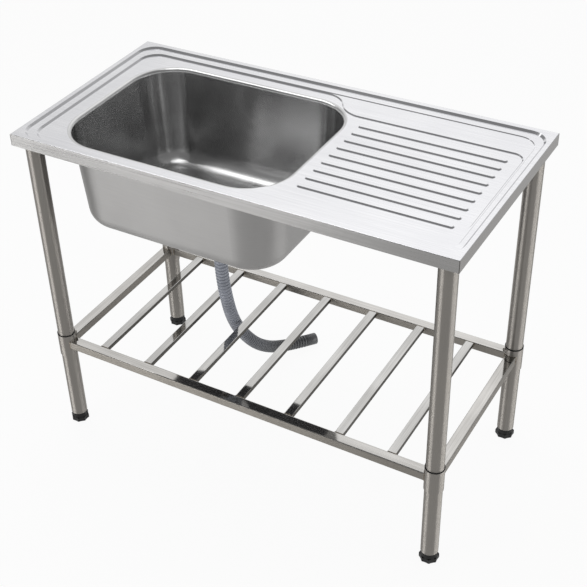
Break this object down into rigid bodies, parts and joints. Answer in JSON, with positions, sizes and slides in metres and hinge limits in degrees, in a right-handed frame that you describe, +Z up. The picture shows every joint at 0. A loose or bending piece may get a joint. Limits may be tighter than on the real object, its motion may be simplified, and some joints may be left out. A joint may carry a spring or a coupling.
{
  "type": "kitchen sink unit",
  "caption": "Free-standing stainless steel kitchen sink with a deep bowl, a ribbed drainer, round legs on screw feet, a slatted shelf and a loose drain hose.",
  "frame": {"origin": "on the floor, under the middle of the unit without its hose", "axes": "+X along the length towards the drainer, -Y to the front, +Z up"},
  "size_m": [1, 0.5665, 0.8],
  "materials": {
    "worktop_steel": "satin",
    "bowl_steel": "satin",
    "polished_tube": "polished",
    "zinc_sheet": "satin",
    "screw_steel": "polished",
    "drain_steel": "polished",
    "black_plastic": "matte",
    "grey_plastic": "matte",
    "hose_plastic": "satin",
    "black_rubber": "matte"
  },
  "bodies": {
    "unit": {"worktop": "worktop_steel", "sink_bowl": "bowl_steel", "drainer_stiffener": "zinc_sheet", "corner_bracket_front_left": "zinc_sheet", "corner_bracket_front_right": "zinc_sheet", "corner_bracket_back_right": "zinc_sheet", "corner_bracket_back_left": "zinc_sheet", "leg_front_left": "polished_tube", "leg_front_right": "polished_tube", "leg_back_right": "polished_tube", "leg_back_left": "polished_tube", "leg_screws": "screw_steel", "foot_insert_front_left": "black_plastic", "foot_insert_front_right": "black_plastic", "foot_insert_back_right": "black_plastic", "foot_insert_back_left": "black_plastic", "drain_cup": "drain_steel", "drain_seal_upper": "black_rubber", "drain_seal_lower": "black_rubber", "drain_locknut": "grey_plastic", "outlet_washer": "black_rubber", "hose_adaptor": "grey_plastic", "slip_nut": "grey_plastic", "hose_clamp": "screw_steel", "drain_hose": "hose_plastic"},
    "shelf": {"shelf_front_rail": "polished_tube", "shelf_back_rail": "polished_tube", "shelf_left_rail": "polished_tube", "shelf_right_rail": "polished_tube", "shelf_slat_1": "polished_tube", "shelf_slat_2": "polished_tube", "shelf_slat_3": "polished_tube", "shelf_slat_4": "polished_tube", "shelf_slat_5": "polished_tube", "shelf_slat_6": "polished_tube", "shelf_slat_7": "polished_tube", "shelf_sleeve_front_left": "polished_tube", "shelf_sleeve_front_right": "polished_tube", "shelf_sleeve_back_right": "polished_tube", "shelf_sleeve_back_left": "polished_tube", "sleeve_rings": "black_rubber", "sleeve_grub_screws": "screw_steel"},
    "foot_body_front_left": {"foot_front_left": "black_plastic"},
    "foot_body_front_right": {"foot_front_right": "black_plastic"},
    "foot_body_back_right": {"foot_back_right": "black_plastic"},
    "foot_body_back_left": {"foot_back_left": "black_plastic"},
    "strainer": {"strainer_basket": "drain_steel", "strainer_stopper": "black_rubber"}
  },
  "joints": [
    {"name": "shelf_height", "type": "slide", "parent": "unit", "child": "shelf", "axis": [0, 0, 1], "range_m": [-0.1, 0.18]},
    {"name": "foot_level_front_left", "type": "slide", "parent": "unit", "child": "foot_body_front_left", "axis": [0, 0, -1], "range_m": [0, 0.02]},
    {"name": "foot_level_front_right", "type": "slide", "parent": "unit", "child": "foot_body_front_right", "axis": [0, 0, -1], "range_m": [0, 0.02]},
    {"name": "foot_level_back_right", "type": "slide", "parent": "unit", "child": "foot_body_back_right", "axis": [0, 0, -1], "range_m": [0, 0.02]},
    {"name": "foot_level_back_left", "type": "slide", "parent": "unit", "child": "foot_body_back_left", "axis": [0, 0, -1], "range_m": [0, 0.02]},
    {"name": "strainer_lift", "type": "slide", "parent": "unit", "child": "strainer", "axis": [0, 0, 1], "range_m": [0, 0.28]}
  ]
}
